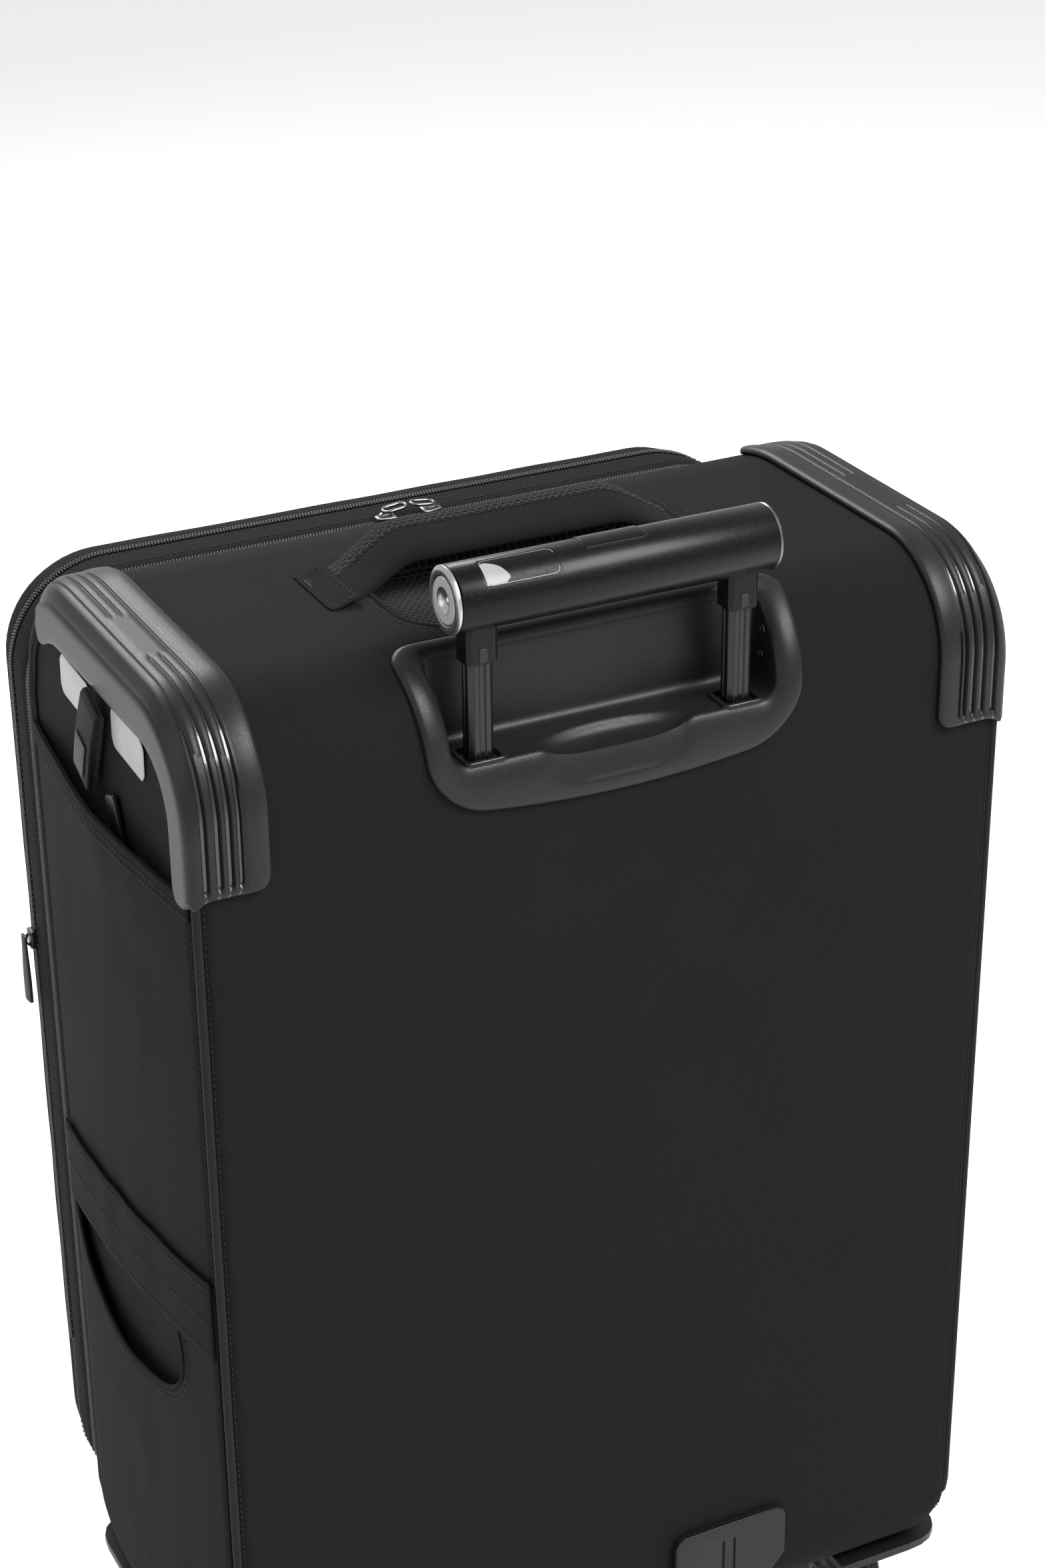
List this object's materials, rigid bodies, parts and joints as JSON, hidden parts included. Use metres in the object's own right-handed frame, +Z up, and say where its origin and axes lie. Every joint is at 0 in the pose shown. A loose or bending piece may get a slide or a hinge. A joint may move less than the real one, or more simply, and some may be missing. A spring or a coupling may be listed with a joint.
{
  "type": "softside upright suitcase",
  "caption": "Softside upright suitcase on spinner casters, with a telescopic torch-grip handle, zipped lid and side pockets.",
  "frame": {"origin": "on the floor, under the middle of the whole case", "axes": "+Z up, +Y towards the telescopic handle at the back, -Y towards the zipped lid, +X towards the side with the pockets"},
  "size_m": [0.4526, 0.3064, 0.7386],
  "materials": {
    "shell_fabric": "black woven polyester with a fine diagonal dot weave, foam backed",
    "mesh_fabric": "black spacer mesh with oval holes",
    "lining_fabric": "grey smooth taffeta lining",
    "moulded_plastic": "charcoal fine-grained moulding",
    "coil_nylon": "black nylon coil",
    "tube_aluminium": "black satin anodised",
    "silver_trim": "satin silver plating",
    "spring_steel": "plain steel",
    "webbing": "black ribbed tape",
    "honeycomb_board": "dark polypropylene board",
    "wheel_tyre": "black rubber tyre on a dark hub"
  },
  "bodies": {
    "case": {"fabric_wrap": "shell_fabric", "side_panel_left": "shell_fabric", "side_panel_right": "shell_fabric", "upper_pocket": "shell_fabric", "lower_pocket": "shell_fabric", "top_handle": "shell_fabric", "zip_tape": "shell_fabric", "hinge_tape": "shell_fabric", "handle_recess": "mesh_fabric", "lining_tray": "lining_fabric", "handle_cup": "moulded_plastic", "corner_guard_left": "moulded_plastic", "corner_guard_right": "moulded_plastic", "tube_foot_left": "moulded_plastic", "tube_foot_right": "moulded_plastic", "base_plate_left": "moulded_plastic", "base_plate_right": "moulded_plastic", "caster_housing_back_left": "moulded_plastic", "caster_housing_back_right": "moulded_plastic", "caster_housing_front_left": "moulded_plastic", "caster_housing_front_right": "moulded_plastic", "zip_coil_body": "coil_nylon", "bag_strap_clip": "coil_nylon", "outer_tube_left": "tube_aluminium", "outer_tube_right": "tube_aluminium", "wire_frame": "spring_steel", "side_piping_left": "webbing", "side_piping_right": "webbing", "back_board": "honeycomb_board", "base_board": "honeycomb_board"},
    "handle_middle": {"middle_tube_left": "tube_aluminium", "middle_tube_right": "tube_aluminium"},
    "handle_grip": {"inner_tube_left": "tube_aluminium", "inner_tube_right": "tube_aluminium", "grip_shell": "tube_aluminium", "grip_end_cap": "silver_trim", "torch_bezel": "silver_trim", "torch_battery": "spring_steel"},
    "release": {"grip_button": "tube_aluminium", "release_yoke": "spring_steel"},
    "torch_switch": {"torch_head": "silver_trim"},
    "lid": {"zip_coil_lid": "coil_nylon", "lid_shell": "shell_fabric", "pocket_zip_coil": "coil_nylon", "front_pocket": "shell_fabric"},
    "main_slider_left": {"main_slider_left": "silver_trim"},
    "main_slider_right": {"main_slider_right": "silver_trim"},
    "main_pull_left": {"main_pull_left": "silver_trim"},
    "main_pull_right": {"main_pull_right": "silver_trim"},
    "pocket_slider": {"pocket_slider": "coil_nylon"},
    "pocket_puller": {"pocket_puller": "coil_nylon"},
    "tag_loop": {"tag_loop": "webbing"},
    "swivel_back_left": {"caster_fork_back_left": "moulded_plastic"},
    "wheels_back_left": {"caster_wheels_back_left": "wheel_tyre"},
    "swivel_back_right": {"caster_fork_back_right": "moulded_plastic"},
    "wheels_back_right": {"caster_wheels_back_right": "wheel_tyre"},
    "swivel_front_left": {"caster_fork_front_left": "moulded_plastic"},
    "wheels_front_left": {"caster_wheels_front_left": "wheel_tyre"},
    "swivel_front_right": {"caster_fork_front_right": "moulded_plastic"},
    "wheels_front_right": {"caster_wheels_front_right": "wheel_tyre"}
  },
  "joints": [
    {"name": "handle_lower_stage", "type": "slide", "parent": "case", "child": "handle_middle", "axis": [0, 0, 1], "range_m": [0, 0.19]},
    {"name": "handle_upper_stage", "type": "slide", "parent": "handle_middle", "child": "handle_grip", "axis": [0, 0, 1], "range_m": [-0.047, 0.143]},
    {"name": "grip_button_press", "type": "slide", "parent": "handle_grip", "child": "release", "axis": [0, 0, -1], "range_m": [0, 0.003], "stiffness_N_per_m": 1500, "springref_m": -0.002},
    {"name": "torch_press", "type": "slide", "parent": "handle_grip", "child": "torch_switch", "axis": [-1, 0, 0], "range_m": [0, 0.0015], "stiffness_N_per_m": 800, "springref_m": -0.001},
    {"name": "lid_hinge", "type": "hinge", "parent": "case", "child": "lid", "pos_m": [-0.2195, -0.0924, 0.3815], "axis": [0, 0, -1], "range_deg": [0, 170]},
    {"name": "main_zip_left", "type": "slide", "parent": "case", "child": "main_slider_left", "axis": [-1, 0, 0], "range_m": [0, 0.125]},
    {"name": "main_pull_left_flip", "type": "hinge", "parent": "main_slider_left", "child": "main_pull_left", "pos_m": [-0.0155, -0.0924, 0.6728], "axis": [0, -1, 0], "range_deg": [0, 150]},
    {"name": "main_zip_right", "type": "slide", "parent": "case", "child": "main_slider_right", "axis": [1, 0, 0], "range_m": [0, 0.125]},
    {"name": "main_pull_right_flip", "type": "hinge", "parent": "main_slider_right", "child": "main_pull_right", "pos_m": [0.0155, -0.0924, 0.6728], "axis": [0, 1, 0], "range_deg": [0, 150]},
    {"name": "pocket_zip", "type": "slide", "parent": "lid", "child": "pocket_slider", "axis": [0, 0, -1], "range_m": [-0.1, 0.2]},
    {"name": "pocket_puller_swing", "type": "hinge", "parent": "pocket_slider", "child": "pocket_puller", "pos_m": [0.2223, -0.12375, 0.4525], "axis": [0, -1, 0], "range_deg": [0, 120]},
    {"name": "tag_loop_swing", "type": "hinge", "parent": "case", "child": "tag_loop", "pos_m": [0.2229, 0.03475, 0.6615], "axis": [0, -1, 0], "range_deg": [0, 60]},
    {"name": "swivel_back_left", "type": "hinge", "parent": "case", "child": "swivel_back_left", "pos_m": [-0.18, 0.10475, 0.055], "axis": [0, 0, 1], "continuous": true},
    {"name": "spin_back_left", "type": "hinge", "parent": "swivel_back_left", "child": "wheels_back_left", "pos_m": [-0.18, 0.09275, 0.025], "axis": [1, 0, 0], "continuous": true},
    {"name": "swivel_back_right", "type": "hinge", "parent": "case", "child": "swivel_back_right", "pos_m": [0.18, 0.10475, 0.055], "axis": [0, 0, 1], "continuous": true},
    {"name": "spin_back_right", "type": "hinge", "parent": "swivel_back_right", "child": "wheels_back_right", "pos_m": [0.18, 0.09275, 0.025], "axis": [1, 0, 0], "continuous": true},
    {"name": "swivel_front_left", "type": "hinge", "parent": "case", "child": "swivel_front_left", "pos_m": [-0.18, -0.05125, 0.055], "axis": [0, 0, 1], "continuous": true},
    {"name": "spin_front_left", "type": "hinge", "parent": "swivel_front_left", "child": "wheels_front_left", "pos_m": [-0.18, -0.06325, 0.025], "axis": [1, 0, 0], "continuous": true},
    {"name": "swivel_front_right", "type": "hinge", "parent": "case", "child": "swivel_front_right", "pos_m": [0.18, -0.05125, 0.055], "axis": [0, 0, 1], "continuous": true},
    {"name": "spin_front_right", "type": "hinge", "parent": "swivel_front_right", "child": "wheels_front_right", "pos_m": [0.18, -0.06325, 0.025], "axis": [1, 0, 0], "continuous": true}
  ]
}
